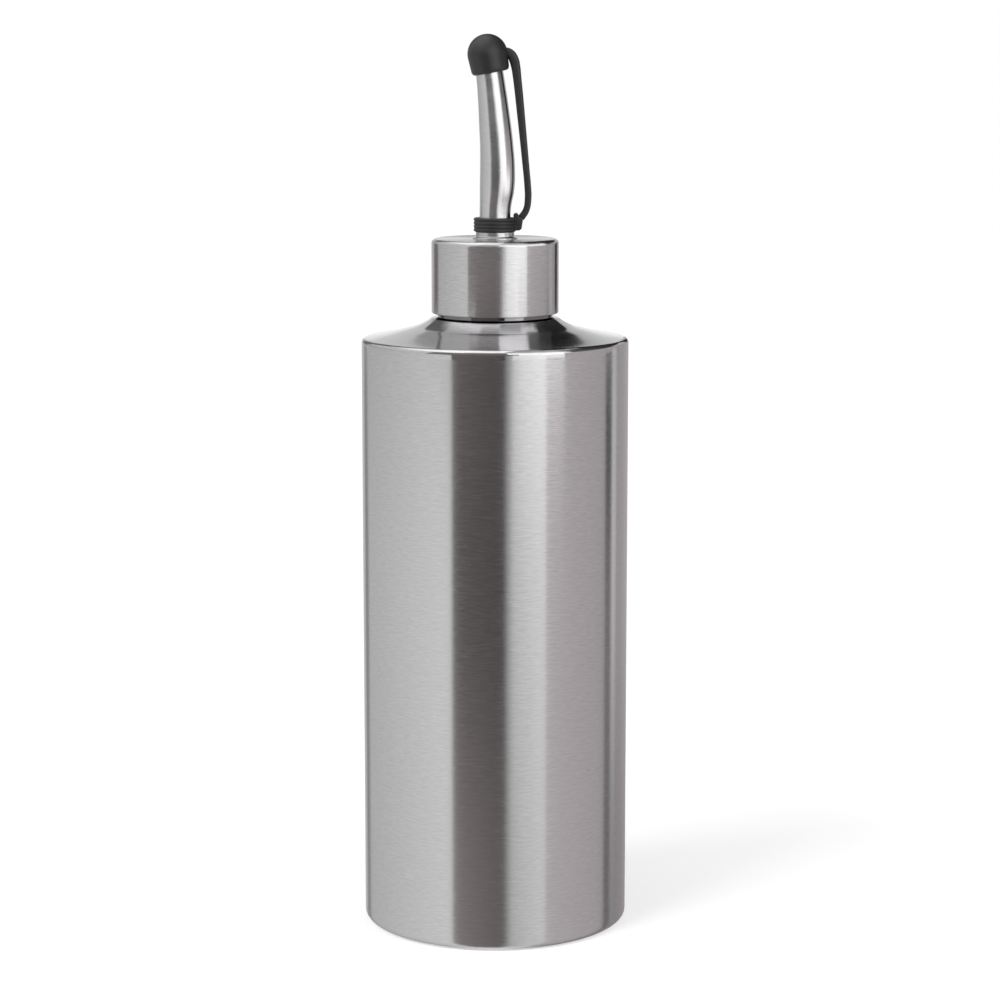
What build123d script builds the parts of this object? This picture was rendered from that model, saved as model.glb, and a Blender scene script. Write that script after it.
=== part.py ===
from build123d import *
import os
from math import cos, radians, sin, tan

# Oil dispenser bottle: a steel body, a screw cap that carries a bent pour spout, and a rubber cap
# on a strap that closes the spout's tip. Lengths are in mm and angles in degrees. +Z is up, the
# origin is the centre of the standing face, and the spout bends in the XZ plane.

# Bottle body, of pressed sheet with welded laps
body_diameter = 70.0
body_sheet = 0.7
lap_length = 6.0
lap_clearance = 0.05

# Base pan
base_edge = 3.2
base_rounding = 1.8
base_recess = 2.5
recess_diameter = 50.0
recess_slope = 3.0
recess_rounding = 1.5

# Shoulder, a shallow trumpet from the rim up to the throat
rim_height = 155.5
rim_edge = 2.0
rim_rounding = 1.2
rim_slope = 8.0
knee_diameter = 50.0
knee_rounding = 60.0
throat_slope = 17.0
throat_rounding = 4.5
throat_length = 4.0

# Turned neck, welded into the throat
neck_diameter = 27.8
neck_wall = 1.3
spigot_step = 0.35
spigot_length = 6.5
collar_step = 0.25
neck_collar = 0.6
neck_chamfer = 0.5
weld_clearance = 0.05

# Screw cap
thread_room = 1.0
insert_wall = 0.9
insert_top = 1.2
insert_recess = 2.5
insert_clearance = 0.05
cap_sheet = 0.8
cap_height = 19.4
cap_overlap = 1.6
cap_rounding = 1.2
cap_lip_chamfer = 0.4
liner_thickness = 1.4
liner_width = 5.0
liner_clearance = 0.2

# Spout collar and what clamps it in the cap
stub_diameter = 9.9
stub_overrun = 1.0
hole_clearance = 0.1
collar_diameter = 10.1
collar_height = 1.3
foot_diameter = 11.7
foot_height = 0.5
gasket_diameter = 17.0
gasket_thickness = 1.0
washer_diameter = 16.0
washer_thickness = 1.0
nut_across_flats = 14.0
nut_height = 4.0
nut_chamfer = 0.8

# Pour spout: the bend's sections are height above the collar, shift along X, lean and diameter
spout_sheet = 0.5
spout_clearance = 0.03
root_diameter = 8.1
belly_diameter = 9.15
tip_foot_diameter = 7.2
tip_diameter = 6.9
tip_length = 8.0
bend_sections = (
    (5.2, 0.0, 0.0, root_diameter),
    (8.0, 0.2, -5.5, 8.45),
    (11.0, 0.53, -3.5, 9.05),
    (15.0, 0.66, 0.0, belly_diameter),
    (21.4, 0.48, 3.5, 8.75),
    (28.7, -0.09, 5.2, 8.2),
    (35.0, -0.68, 5.8, 7.6),
    (39.9, -1.26, 9.0, tip_foot_diameter),
)

# Air tube behind the bend, inside the spout
vent_diameter = 2.2
vent_bore = 1.5
vent_shift = 1.6
vent_drop = 1.8
vent_setback = 2.5
vent_offset = 0.25
vent_bend_rise = 21.5
vent_bend = 40.0

# Rubber ring that holds the strap
ring_height = 3.6
ring_wall = 1.5
ring_chamfer = 0.4
groove_count = 3
groove_depth = 0.25
groove_width = 0.4
lug_reach = 7.35
lug_lift = 0.3
lug_rise = 1.0
lug_width = 3.6
bump_diameter = 1.2
bump_inset = 0.25

# Rubber tip cap, in the tip's own direction
socket_setback = 1.0
socket_clearance = 0.08
socket_headroom = 0.2
skirt_wall = 1.25
skirt_rounding = 0.9
ball_diameter = 10.3
ball_rise = 4.9
ear_reach = 0.45
ear_lift = 0.35

# Strap from the ring's lug to the tip cap's ear
strap_thickness = 2.1
strap_width = 3.0
strap_chamfer = 0.6
strap_clearance = 0.05
strap_foot_angle = 62.0
strap_foot_run = 3.6
strap_foot_bend = 4.5
strap_bow_reach = 8.1
strap_bow_rise = 14.6
strap_bow_bend = 60.0
strap_lean_bend = 12.0
strap_crown_run = 1.2
strap_crown_drop = 3.2
strap_crown_shift = 0.6
strap_crown_bend = 1.0

# Radii and heights that follow from the sizes above
body_radius = body_diameter / 2
lap_radius = body_radius - body_sheet - lap_clearance
wall_top = rim_height - rim_edge
neck_radius = neck_diameter / 2
neck_bore = neck_radius - neck_wall
spigot_radius = neck_radius + spigot_step
throat_radius = spigot_radius + weld_clearance + body_sheet
knee_radius = knee_diameter / 2
knee_height = rim_height + (body_radius - knee_radius) * tan(radians(rim_slope))
throat_corner = knee_height + (knee_radius - throat_radius) * tan(radians(throat_slope))
throat_top = throat_corner + throat_length
cap_bottom = throat_top - cap_overlap
cap_top = cap_bottom + cap_height
insert_bore = neck_radius + thread_room
insert_radius = insert_bore + insert_wall
cap_radius = insert_radius + insert_clearance + cap_sheet
insert_under = cap_top - cap_sheet - insert_top
neck_top = insert_under - liner_thickness
stub_radius = stub_diameter / 2
hole_radius = stub_radius + hole_clearance
washer_top = insert_under - gasket_thickness
nut_top = washer_top - washer_thickness
stub_bottom = nut_top - nut_height - stub_overrun
collar_top = cap_top + foot_height + collar_height
root_radius = root_diameter / 2
ring_bore = root_radius + spout_clearance
ring_radius = ring_bore + ring_wall


def turned(*corners):
    """A closed half section of (radius, height, rounding) corners, spun about Z."""
    points = [(radius, height) for radius, height, _ in corners]
    outline = FilletPolyline(*points, radius=[corner[2] for corner in corners], close=True)
    return revolve(Plane.XZ * make_face(outline), Axis.Z)


def washer(inner, outer, bottom, top):
    """A plain flat ring."""
    return turned((inner, bottom, 0), (outer, bottom, 0), (outer, top, 0), (inner, top, 0))


def pressed(corners, sheet):
    """A sheet spun about Z. Its corners follow the outer face, and the sheet lies to their left.

    A corner that turns towards the sheet is rounded outside alone, as its inside is hidden.
    """
    points = [Vector(radius, height) for radius, height, _ in corners]
    runs = [(end - start).normalized() for start, end in zip(points, points[1:])]
    lefts = [Vector(-run.Y, run.X) for run in runs]
    inner = [(points[0] + lefts[0] * sheet, 0)]
    for i, corner in enumerate(corners[1:-1]):
        square = lefts[i] + lefts[i + 1]
        turn = runs[i].cross(runs[i + 1]).Z
        move = square * (sheet / (1 + lefts[i].dot(lefts[i + 1])))
        rounded = corner[2] and turn < 0
        inner.append((points[i + 1] + move, corner[2] + sheet if rounded else 0))
    inner.append((points[-1] + lefts[-1] * sheet, 0))
    back = [(point.X, point.Y, rounding) for point, rounding in reversed(inner)]
    return turned(*corners, *back)


def leaning_plane(shift, height, lean):
    """A plane across the spout at a place in the XZ plane, leaning towards -X."""
    angle = radians(lean)
    across = (cos(angle), 0, sin(angle))
    return Plane(origin=(shift, 0, height), x_dir=across, z_dir=(-sin(angle), 0, cos(angle)))


def body_wall():
    """The straight tube between the base pan and the shoulder."""
    return washer(body_radius - body_sheet, body_radius, base_edge, wall_top)


def base_pan():
    """A pressed pan: raised middle, standing ring, rounded corner and a flange lapped in the wall."""
    recess_radius = recess_diameter / 2
    corners = (
        (0, base_recess, 0),
        (recess_radius - recess_slope, base_recess, 0),
        (recess_radius, 0, recess_rounding),
        (body_radius, 0, base_rounding),
        (body_radius, base_edge, 0),
        (lap_radius, base_edge, 0),
        (lap_radius, base_edge + lap_length, 0),
    )
    return pressed(corners, body_sheet)


def shoulder_dome():
    """The trumpet shoulder: a flange lapped in the wall, the rounded rim and the raised throat."""
    corners = (
        (lap_radius, wall_top - lap_length, 0),
        (lap_radius, wall_top, 0),
        (body_radius, wall_top, 0),
        (body_radius, rim_height, rim_rounding),
        (knee_radius, knee_height, knee_rounding),
        (throat_radius, throat_corner, throat_rounding),
        (throat_radius, throat_top, 0),
    )
    return pressed(corners, body_sheet)


def neck_ring():
    """A turned ring: a spigot in the throat, a collar seated on it and the barrel for the thread."""
    collar_radius = spigot_radius + collar_step
    return turned(
        (neck_bore, throat_top - spigot_length, 0),
        (spigot_radius, throat_top - spigot_length, 0),
        (spigot_radius, throat_top, 0),
        (collar_radius, throat_top, 0),
        (collar_radius, throat_top + neck_collar, 0),
        (neck_radius, throat_top + neck_collar, 0),
        (neck_radius, neck_top - neck_chamfer, 0),
        (neck_radius - neck_chamfer, neck_top, 0),
        (neck_bore, neck_top, 0),
    )


def cap_liner():
    """The soft ring that seals the neck's top edge and slips as the cap turns."""
    outer = insert_bore - liner_clearance
    return washer(outer - liner_width, outer, neck_top, insert_under)


def cap_insert():
    """The moulded cup inside the cap that takes the thread."""
    bottom = cap_bottom + insert_recess
    top = insert_under + insert_top
    return turned(
        (insert_bore, bottom, 0),
        (insert_radius, bottom, 0),
        (insert_radius, top, 0),
        (hole_radius, top, 0),
        (hole_radius, insert_under, 0),
        (insert_bore, insert_under, 0),
    )


def cap_shell():
    """The steel cup over the insert, with a rounded top edge and an eased lip."""
    inner = cap_radius - cap_sheet
    return turned(
        (inner, cap_bottom, 0),
        (cap_radius - cap_lip_chamfer, cap_bottom, 0),
        (cap_radius, cap_bottom + cap_lip_chamfer, 0),
        (cap_radius, cap_top, cap_rounding),
        (hole_radius, cap_top, 0),
        (hole_radius, cap_top - cap_sheet, 0),
        (inner, cap_top - cap_sheet, 0),
    )


def spout_collar():
    """The turned bush that holds the spout: a foot on the cap, a low collar and a stub below."""
    bore = root_radius + spout_clearance
    collar_radius = collar_diameter / 2
    return turned(
        (bore, stub_bottom, 0),
        (stub_radius, stub_bottom, 0),
        (stub_radius, cap_top, 0),
        (foot_diameter / 2, cap_top, 0),
        (foot_diameter / 2, cap_top + foot_height / 2, 0),
        (collar_radius, cap_top + foot_height, 0),
        (collar_radius, collar_top, 0),
        (bore, collar_top, 0),
    )


def clamp_nut():
    """A hexagon nut with its corners turned off, in line with the stub."""
    corner_radius = nut_across_flats / 2 / cos(radians(30))
    hexagon = RegularPolygon(corner_radius, 6) - Circle(hole_radius)
    blank = Pos(0, 0, nut_top - nut_height) * extrude(hexagon, nut_height)
    bottom = nut_top - nut_height
    chamfer_radius = corner_radius - nut_chamfer
    return blank & turned(
        (0, bottom, 0),
        (chamfer_radius, bottom, 0),
        (corner_radius, bottom + nut_chamfer / 2, 0),
        (corner_radius, nut_top - nut_chamfer / 2, 0),
        (chamfer_radius, nut_top, 0),
        (0, nut_top, 0),
    )


def bend_planes():
    """The bend's planes with their radii, from the straight root up to the foot of the tip."""
    for rise, shift, lean, diameter in bend_sections:
        yield leaning_plane(shift, collar_top + rise, lean), diameter / 2


def tip_plane(rise):
    """The plane across the straight tip, at a distance above the bend along the tip."""
    foot = list(bend_planes())[-1][0]
    return foot.offset(rise)


def spout_core(inset, overrun):
    """The spout's solid form, thinned by inset and carried past both ends by overrun."""
    sections = list(bend_planes())
    root_bottom = stub_bottom - overrun
    root_height = sections[0][0].origin.Z - root_bottom
    root = Pos(0, 0, root_bottom) * extrude(Circle(root_radius - inset), root_height)
    bend = loft([plane * Circle(radius - inset) for plane, radius in sections])
    slope = (tip_foot_diameter - tip_diameter) / 2 / tip_length
    length = tip_length + overrun
    tip_foot_radius = tip_foot_diameter / 2 - inset
    tip = loft([
        tip_plane(0) * Circle(tip_foot_radius),
        tip_plane(length) * Circle(tip_foot_radius - slope * length),
    ])
    return root + bend + tip


def spout_tube():
    """The bent pour tube, swaged out to a belly above the ring and drawn down to the tip."""
    return spout_core(0, 0) - spout_core(spout_sheet, 1)


def vent_tube():
    """The thin air tube that runs inside the spout, from under the stub to just below the tip."""
    bottom = (vent_offset, vent_shift, stub_bottom - vent_drop)
    bend = (vent_offset, vent_shift, collar_top + vent_bend_rise)
    end = tip_plane(tip_length - vent_setback).origin
    path = FilletPolyline(bottom, bend, (end.X, vent_shift, end.Z), radius=vent_bend)
    start = Plane(origin=path @ 0, z_dir=path % 0)
    tube = sweep(start * Circle(vent_diameter / 2), path)
    return tube - sweep(start * Circle(vent_bore / 2), path)


def tether_ring():
    """The grooved rubber ring on the spout's root, with the lug that the strap leaves from."""
    top = collar_top + ring_height
    ring = turned(
        (ring_bore, collar_top, 0),
        (ring_radius - ring_chamfer, collar_top, 0),
        (ring_radius, collar_top + ring_chamfer, 0),
        (ring_radius, top - ring_chamfer, 0),
        (ring_radius - ring_chamfer, top, 0),
        (ring_bore, top, 0),
    )
    for i in range(groove_count):
        height = collar_top + ring_height * (i + 1) / (groove_count + 1)
        low, high = height - groove_width / 2, height + groove_width / 2
        ring -= washer(ring_radius - groove_depth, ring_radius + ring_wall, low, high)
    face, half = strap_foot()
    inner = ring_bore + ring_wall / 2
    lug_bottom = collar_top + lug_lift
    outer_end, inner_end = face + half, face - half
    profile = Polyline(
        (inner, lug_bottom),
        (lug_reach - ring_wall, lug_bottom),
        (lug_reach, lug_bottom + ring_wall),
        (lug_reach, outer_end.Z - lug_rise),
        (outer_end.X, outer_end.Z),
        (inner_end.X, inner_end.Z),
        (inner, inner_end.Z),
        close=True,
    )
    lug = extrude(Plane.XZ * make_face(profile), lug_width / 2, both=True)
    bump_place = Pos(ring_radius - bump_inset, 0, inner_end.Z - bump_diameter / 4) * Rot(90, 0, 0)
    return ring + lug + bump_place * Cylinder(bump_diameter / 2, lug_width)


def strap_foot():
    """The middle of the lug's sloping face, and half of the face's run out to the right."""
    angle = radians(strap_foot_angle)
    half = Vector(sin(angle), 0, -cos(angle)) * (strap_thickness / 2)
    level = Vector(lug_reach, 0, collar_top + ring_height) - Vector(half.X, 0, -half.Z)
    return level + Vector(cos(angle), 0, sin(angle)) * lug_rise, half


def ear_place():
    """The middle of the tip cap's ear face, where the strap's crown meets it."""
    ball = tip_plane(socket_setback + ball_rise).origin
    return Vector(ball.X + ball_diameter / 2 + ear_reach, 0, ball.Z + ear_lift)


def strap_section():
    """The strap's section: a flat oblong with its corners cut off."""
    oblong = Rectangle(strap_width, strap_thickness)
    return chamfer(oblong.vertices(), strap_chamfer)


def tether_strap():
    """The rubber strap: out of the lug, up beside the spout and over into the tip cap's ear."""
    angle = radians(strap_foot_angle)
    square = Vector(cos(angle), 0, sin(angle))
    face, _ = strap_foot()
    foot = face + square * strap_clearance
    knee = face + square * strap_foot_run
    bow = Vector(strap_bow_reach, 0, collar_top + strap_bow_rise)
    end = ear_place() + Vector(strap_clearance, 0, 0)
    crown = ear_place() + Vector(strap_crown_run, 0, 0)
    side = crown + Vector(strap_crown_shift, 0, -strap_crown_drop)
    bends = [strap_foot_bend, strap_bow_bend, strap_lean_bend, strap_crown_bend]
    path = FilletPolyline(foot, knee, bow, side, crown, end, radius=bends)
    start = Plane(origin=path @ 0, x_dir=(0, 1, 0), z_dir=path % 0)
    return sweep(start * strap_section(), path)


def tip_cap():
    """The rubber cap on the tip: a ball on a short skirt, a blind socket and the strap's ear."""
    skirt_radius = tip_foot_diameter / 2 + socket_clearance + skirt_wall
    ball_radius = ball_diameter / 2
    skirt = turned(
        (0, 0, 0),
        (skirt_radius, 0, skirt_rounding),
        (ball_radius, ball_rise, 0),
        (0, ball_rise, 0),
    )
    body = tip_plane(socket_setback).location * (skirt + Pos(0, 0, ball_rise) * Sphere(ball_radius))
    ear = ear_place()
    ear_length = ear_reach + skirt_wall
    ear_face = Plane(origin=ear, x_dir=(0, 1, 0), z_dir=(-1, 0, 0))
    body += extrude(ear_face * strap_section(), ear_length)
    slope = (tip_foot_diameter - tip_diameter) / 2 / tip_length
    mouth = tip_foot_diameter / 2 + socket_clearance
    depth = tip_length + socket_headroom
    socket = loft([
        tip_plane(0) * Circle(mouth),
        tip_plane(depth) * Circle(mouth - slope * depth),
    ])
    return body - socket


parts = {
    "body_wall": body_wall(),
    "base_pan": base_pan(),
    "shoulder_dome": shoulder_dome(),
    "neck_ring": neck_ring(),
    "cap_liner": cap_liner(),
    "cap_shell": cap_shell(),
    "cap_insert": cap_insert(),
    "spout_collar": spout_collar(),
    "spout_gasket": washer(hole_radius, gasket_diameter / 2, washer_top, insert_under),
    "clamp_washer": washer(hole_radius, washer_diameter / 2, nut_top, washer_top),
    "clamp_nut": clamp_nut(),
    "spout_tube": spout_tube(),
    "vent_tube": vent_tube(),
    "tether_ring": tether_ring(),
    "tether_strap": tether_strap(),
    "tip_cap": tip_cap(),
}

os.makedirs("parts", exist_ok=True)
for name, shape in parts.items():
    export_step(shape, f"parts/{name}.step")
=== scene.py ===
"""Scene of the oil dispenser bottle: its visible pieces, their finishes, the studio, the camera.

Lengths are in metres, +Z is up and the bottle stands on the origin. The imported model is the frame:
each piece sits where its node sits, and moves with that node's body.
"""

import logging
import math
from collections.abc import Callable, Sequence
from dataclasses import dataclass
from enum import Enum
from itertools import pairwise

import bpy
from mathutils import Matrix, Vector


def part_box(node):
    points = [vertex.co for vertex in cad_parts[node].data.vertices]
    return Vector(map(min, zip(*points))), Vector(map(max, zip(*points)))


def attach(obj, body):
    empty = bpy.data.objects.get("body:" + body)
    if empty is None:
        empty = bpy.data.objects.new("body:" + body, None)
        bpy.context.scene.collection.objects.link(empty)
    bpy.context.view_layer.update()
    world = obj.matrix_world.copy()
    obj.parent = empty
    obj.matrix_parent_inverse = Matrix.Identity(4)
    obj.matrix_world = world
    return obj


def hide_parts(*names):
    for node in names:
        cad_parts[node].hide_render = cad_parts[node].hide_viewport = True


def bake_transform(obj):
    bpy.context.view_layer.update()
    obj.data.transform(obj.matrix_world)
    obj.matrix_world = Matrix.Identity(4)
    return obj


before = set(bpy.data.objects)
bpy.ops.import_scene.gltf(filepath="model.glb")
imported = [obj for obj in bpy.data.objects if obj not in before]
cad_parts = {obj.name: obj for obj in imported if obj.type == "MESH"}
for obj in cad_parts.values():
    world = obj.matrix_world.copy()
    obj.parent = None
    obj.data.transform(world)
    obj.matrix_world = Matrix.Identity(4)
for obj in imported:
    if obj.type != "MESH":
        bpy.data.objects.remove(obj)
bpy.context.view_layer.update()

Piece = bpy.types.Object
Material = bpy.types.Material
Socket = bpy.types.NodeSocket

LOG = logging.getLogger("oil_bottle")
MM = 0.001
TOUCH = 1e-6  # places nearer than this are one
SMOOTH_ANGLE = math.radians(32)  # edges that turn more than this stay sharp
EASE = 0.2 * MM  # rounding of a small turned edge
SPOUT_BORE = 4.08 * MM  # radius inside the bush and the rubber ring, which hold the spout
NOISE_RANGE = (0.3, 0.7)  # what nearly all of a noise lies between
WHITE = (1.0, 1.0, 1.0, 1.0)
WARM_GREY = (1.03, 0.965, 0.985)
WARM_DARK = (1.07, 0.96, 0.94)
SEAM = 0.25  # height where the low cards end and the upper ones begin
BACK_SEAM = 0.21  # the same behind the bottle
LEFT_SEAM = 0.281  # where the raised back cards end on the left
RIGHT_SEAM = 0.27  # where they end on the right
CARD_TOP = 0.80
NEAR = 0.295  # distance of the cards just inside the others
FLOOR_BLEND = (-0.06, 0.03)  # heights between which a card turns to its level below the floor
CAP_RING = {"bottom": 0.157, "top": 0.186, "reach": 0.06}  # where the cards round the cap are


class Body(Enum):
    """The frame's bodies that new pieces ride on."""

    BOTTLE = "bottle"
    CAP = "cap"
    TIP = "tip"


class Bench:
    """Edit-mode work on one mesh, with everything else left alone."""

    @staticmethod
    def clear() -> None:
        """Leave edit mode and deselect every object."""
        if bpy.context.object is not None and bpy.context.object.mode != "OBJECT":
            bpy.ops.object.mode_set(mode="OBJECT")
        bpy.ops.object.select_all(action="DESELECT")

    @staticmethod
    def focus(piece: Piece) -> None:
        """Make a piece the active object and the only selected one."""
        Bench.clear()
        piece.select_set(True)
        bpy.context.view_layer.objects.active = piece

    @staticmethod
    def take(name: str, scale: Sequence[float] = (1.0, 1.0, 1.0)) -> Piece:
        """Name and scale the object that was just added, and put its place into its mesh.

        Args:
            name: The piece's name.
            scale: Its scale along each axis.

        Returns:
            The object, active and in object mode.
        """
        piece = bpy.context.object
        piece.name = name
        piece.data.name = name
        piece.scale = scale
        bpy.ops.object.transform_apply(location=True, rotation=True, scale=True)
        return piece

    @staticmethod
    def pick(piece: Piece, wanted: Callable[[Vector], bool]) -> None:
        """Select the vertices that a test accepts, with the edges and faces between them.

        Args:
            piece: The active mesh object, in either mode. It is left in edit mode.
            wanted: Says whether the vertex at a place is selected.
        """
        Bench._select_nothing("VERT")
        for vertex in piece.data.vertices:
            vertex.select = wanted(vertex.co)
        bpy.ops.object.mode_set(mode="EDIT")

    @staticmethod
    def cut_faces(piece: Piece, unwanted: Callable[[bpy.types.MeshPolygon], bool]) -> None:
        """Delete the faces that a test accepts.

        Args:
            piece: The active mesh object, in either mode. It is left in object mode.
            unwanted: Says whether a face is deleted.
        """
        Bench._select_nothing("FACE")
        for face in piece.data.polygons:
            face.select = unwanted(face)
        bpy.ops.object.mode_set(mode="EDIT")
        bpy.ops.mesh.delete(type="FACE")
        bpy.ops.object.mode_set(mode="OBJECT")

    @staticmethod
    def _select_nothing(kind: str) -> None:
        """Deselect all of the active mesh, and go to object mode with that kind of selection."""
        bpy.ops.object.mode_set(mode="EDIT")
        bpy.ops.mesh.select_mode(type=kind)
        bpy.ops.mesh.select_all(action="DESELECT")
        bpy.ops.object.mode_set(mode="OBJECT")

    @staticmethod
    def apply(piece: Piece, kind: str, **settings: object) -> None:
        """Add a modifier with the given settings and apply it.

        Args:
            piece: The object, which becomes the active one.
            kind: The modifier's type.
            **settings: Values of the modifier's own properties.
        """
        Bench.focus(piece)
        modifier = piece.modifiers.new(kind.lower(), kind)
        for key, value in settings.items():
            setattr(modifier, key, value)
        bpy.ops.object.modifier_apply(modifier=modifier.name)

    @staticmethod
    def wall(piece: Piece, thickness: float) -> Piece:
        """Give an open sheet its thickness inwards, and return it tidied."""
        Bench.apply(piece, "SOLIDIFY", thickness=thickness, offset=-1.0, use_even_offset=True)
        return Bench.tidy(piece)

    @staticmethod
    def ease(piece: Piece, width: float, steps: int) -> Piece:
        """Bevel a block's sharp edges, and return it tidied."""
        Bench.apply(piece, "BEVEL", width=width, segments=steps, limit_method="ANGLE")
        return Bench.tidy(piece)

    @staticmethod
    def tidy(piece: Piece, smooth_angle: float = SMOOTH_ANGLE) -> Piece:
        """Merge doubles, turn the faces outwards and smooth all but the sharp edges.

        Args:
            piece: The mesh to tidy.
            smooth_angle: Edges that turn more than this stay sharp.

        Returns:
            The same object.
        """
        Bench.focus(piece)
        bpy.ops.object.mode_set(mode="EDIT")
        bpy.ops.mesh.select_all(action="SELECT")
        bpy.ops.mesh.remove_doubles(threshold=TOUCH)
        bpy.ops.mesh.normals_make_consistent(inside=False)
        bpy.ops.object.mode_set(mode="OBJECT")
        bpy.ops.object.shade_smooth_by_angle(angle=smooth_angle)
        return piece

    @staticmethod
    def join(main: Piece, *others: Piece) -> Piece:
        """Join meshes into the first one, which keeps its name."""
        Bench.focus(main)
        for piece in others:
            piece.select_set(True)
        bpy.ops.object.join()
        return main

    @staticmethod
    def mould(piece: Piece, voxel: float, passes: int) -> Piece:
        """Melt a mesh of joined shapes into one smooth skin, as in a mould.

        Args:
            piece: The mesh of overlapping closed shapes.
            voxel: The size of the skin's facets.
            passes: How often the skin is smoothed.

        Returns:
            The same object.
        """
        Bench.focus(piece)
        piece.data.remesh_voxel_size = voxel
        bpy.ops.object.voxel_remesh()
        bpy.ops.object.mode_set(mode="EDIT")
        bpy.ops.mesh.select_all(action="SELECT")
        bpy.ops.mesh.vertices_smooth(factor=0.5, repeat=passes)
        bpy.ops.object.mode_set(mode="OBJECT")
        return Bench.tidy(piece, math.pi)


@dataclass(frozen=True)
class Corner:
    """One corner of a turned outline.

    Attributes:
        radius: Distance from the axis.
        height: Height along the axis.
        rounding: Radius of the rounding, or zero for a sharp corner.
        steps: How many facets the rounding has.
    """

    radius: float
    height: float
    rounding: float = 0.0
    steps: int = 3


@dataclass(frozen=True)
class Lathe:
    """Turned pieces: a ring is drawn out corner by corner about Z, and then rounded.

    Attributes:
        sides: How many facets go round the axis.
    """

    sides: int = 192

    def sheet(
        self, name: str, corners: Sequence[Corner], thickness: float, disc: bool = False
    ) -> Piece:
        """Draw an open outline of a sheet's outer face, and give it its thickness inwards.

        Args:
            name: The piece's name.
            corners: The outer face, with the outside on the right of the way along it.
            thickness: The sheet's thickness.
            disc: Whether the first corner's ring is closed by a flat disc.

        Returns:
            The finished object.
        """
        piece = self.draw(name, corners, disc)
        for before, corner, after in zip(corners, corners[1:], corners[2:]):
            self._round(piece, before, corner, after)
        return Bench.wall(Bench.tidy(piece), thickness)

    def solid(self, name: str, corners: Sequence[Corner]) -> Piece:
        """Draw a closed outline that stays clear of the axis.

        Args:
            name: The piece's name.
            corners: The outline's corners in order. The last one joins the first.

        Returns:
            The finished object.
        """
        piece = self.draw(name, [*corners, corners[0]])
        Bench.tidy(piece)
        bpy.ops.object.mode_set(mode="EDIT")
        befores, afters = [corners[-1], *corners], [*corners[1:], corners[0]]
        for before, corner, after in zip(befores, corners, afters):
            self._round(piece, before, corner, after)
        return Bench.tidy(piece)

    def draw(self, name: str, corners: Sequence[Corner], disc: bool = False) -> Piece:
        """Extrude a ring from corner to corner.

        Args:
            name: The object's name.
            corners: The outline's corners in order.
            disc: Whether the first corner's ring is closed by a flat disc.

        Returns:
            The object, in edit mode.
        """
        Bench.clear()
        bpy.ops.mesh.primitive_circle_add(
            vertices=self.sides,
            radius=corners[0].radius,
            fill_type="TRIFAN" if disc else "NOTHING",
            location=(0, 0, corners[0].height),
        )
        piece = Bench.take(name)
        bpy.ops.object.mode_set(mode="EDIT")
        bpy.ops.mesh.select_mode(type="EDGE")
        bpy.ops.mesh.select_all(action="SELECT")
        if disc:
            bpy.ops.mesh.region_to_loop()
        self.extend(corners)
        return piece

    @staticmethod
    def extend(corners: Sequence[Corner]) -> None:
        """Extrude the selected ring, which is at the first corner, through the others."""
        for last, corner in pairwise(corners):
            rise = corner.height - last.height
            growth = corner.radius / last.radius
            bpy.ops.mesh.extrude_edges_move(TRANSFORM_OT_translate={"value": (0, 0, rise)})
            bpy.ops.transform.resize(
                value=(growth, growth, 1), center_override=(0, 0, corner.height)
            )

    @staticmethod
    def _round(piece: Piece, before: Corner, corner: Corner, after: Corner) -> None:
        """Round one corner's ring to its radius, between the corners beside it."""
        if not corner.rounding:
            return
        way_in = Vector((corner.radius - before.radius, corner.height - before.height))
        way_out = Vector((after.radius - corner.radius, after.height - corner.height))
        reach = corner.rounding * math.tan(way_in.angle(way_out) / 2)

        def on_ring(place: Vector) -> bool:
            """Whether a vertex lies on the corner's ring."""
            off = abs(place.xy.length - corner.radius) + abs(place.z - corner.height)
            return off < TOUCH

        Bench.pick(piece, on_ring)
        bpy.ops.mesh.select_mode(type="EDGE")
        bpy.ops.mesh.bevel(
            offset=reach,
            offset_type="OFFSET",
            segments=corner.steps,
            profile=0.5,
            affect="EDGES",
            clamp_overlap=False,
        )


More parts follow.
